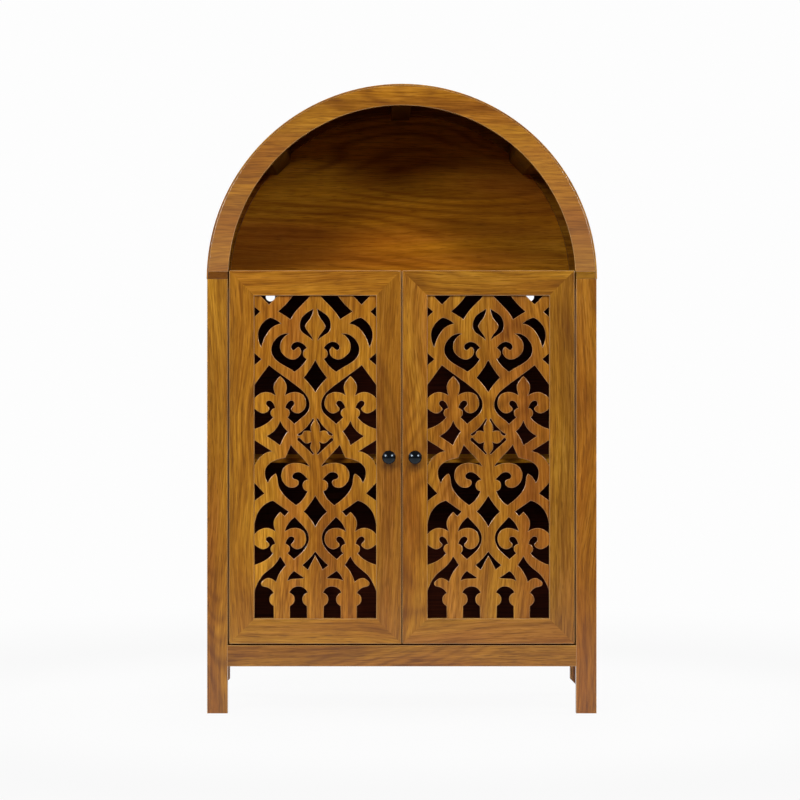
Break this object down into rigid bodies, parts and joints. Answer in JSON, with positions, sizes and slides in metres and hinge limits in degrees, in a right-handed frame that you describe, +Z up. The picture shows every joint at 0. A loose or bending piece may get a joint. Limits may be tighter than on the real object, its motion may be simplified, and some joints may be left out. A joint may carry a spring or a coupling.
{
  "type": "arched fretwork cabinet",
  "caption": "Arch-topped cabinet on feet, with an open arched niche above a shelved cupboard that is closed by two hinged doors with pierced fretwork panels.",
  "frame": {"origin": "on the floor, in the middle of the cabinet's width and of its depth with knobs", "axes": "+X to the viewer's right, +Y from the front to the back, +Z up"},
  "size_m": [0.8, 0.375, 1.29],
  "materials": {
    "veneered_board": "warm brown wood with a darker straight grain, satin lacquer",
    "fretwork_board": "warm brown wood with an upright grain, satin lacquer, pale cut edges",
    "skin_veneer": "warm brown veneered plywood, satin lacquer",
    "back_board": "brown veneered hardboard, satin",
    "beech": "raw beech",
    "knob_black": "gloss black",
    "hinge_bronze": "dark bronze",
    "screw_steel": "zinc plated",
    "magnet": "dull black ferrite",
    "brown_plastic": "brown moulded plastic"
  },
  "bodies": {
    "cabinet": {"bottom_panel": "veneered_board", "front_bottom_rail": "veneered_board", "fixed_shelf": "veneered_board", "inner_shelf": "veneered_board", "front_arch": "veneered_board", "rear_arch": "veneered_board", "right_arch_batten": "veneered_board", "crown_arch_batten": "veneered_board", "left_arch_batten": "veneered_board", "roof_skin": "skin_veneer", "lower_back_panel": "back_board", "upper_back_panel": "back_board", "back_panel_screws": "screw_steel", "carcass_dowels": "beech", "arch_dowels": "beech", "shelf_pins": "screw_steel", "left_front_post": "veneered_board", "left_side_panel": "veneered_board", "left_stop_batten": "veneered_board", "left_rear_stile": "veneered_board", "left_hinge_post_leaf": "hinge_bronze", "left_hinge_pin": "hinge_bronze", "left_hinge_post_screws": "screw_steel", "left_catch_housing": "brown_plastic", "left_catch_magnet": "magnet", "right_front_post": "veneered_board", "right_side_panel": "veneered_board", "right_stop_batten": "veneered_board", "right_rear_stile": "veneered_board", "right_hinge_post_leaf": "hinge_bronze", "right_hinge_pin": "hinge_bronze", "right_hinge_post_screws": "screw_steel", "right_catch_housing": "brown_plastic", "right_catch_magnet": "magnet"},
    "left_door": {"left_door_meeting_stile": "veneered_board", "left_door_hinge_stile": "veneered_board", "left_door_top_rail": "veneered_board", "left_door_bottom_rail": "veneered_board", "left_door_fretwork": "fretwork_board", "left_door_dowels": "beech", "left_hinge_door_leaf": "hinge_bronze", "left_hinge_door_screws": "screw_steel", "left_knob": "knob_black", "left_knob_screw": "screw_steel", "left_strike_plate": "screw_steel"},
    "right_door": {"right_door_meeting_stile": "veneered_board", "right_door_hinge_stile": "veneered_board", "right_door_top_rail": "veneered_board", "right_door_bottom_rail": "veneered_board", "right_door_fretwork": "fretwork_board", "right_door_dowels": "beech", "right_hinge_door_leaf": "hinge_bronze", "right_hinge_door_screws": "screw_steel", "right_knob": "knob_black", "right_knob_screw": "screw_steel", "right_strike_plate": "screw_steel"}
  },
  "joints": [
    {"name": "left_door_hinge", "type": "hinge", "parent": "cabinet", "child": "left_door", "pos_m": [-0.3554, -0.1616, 0.51], "axis": [0, 0, -1], "range_deg": [0, 105]},
    {"name": "right_door_hinge", "type": "hinge", "parent": "cabinet", "child": "right_door", "pos_m": [0.3554, -0.1616, 0.51], "axis": [0, 0, 1], "range_deg": [0, 105]}
  ]
}
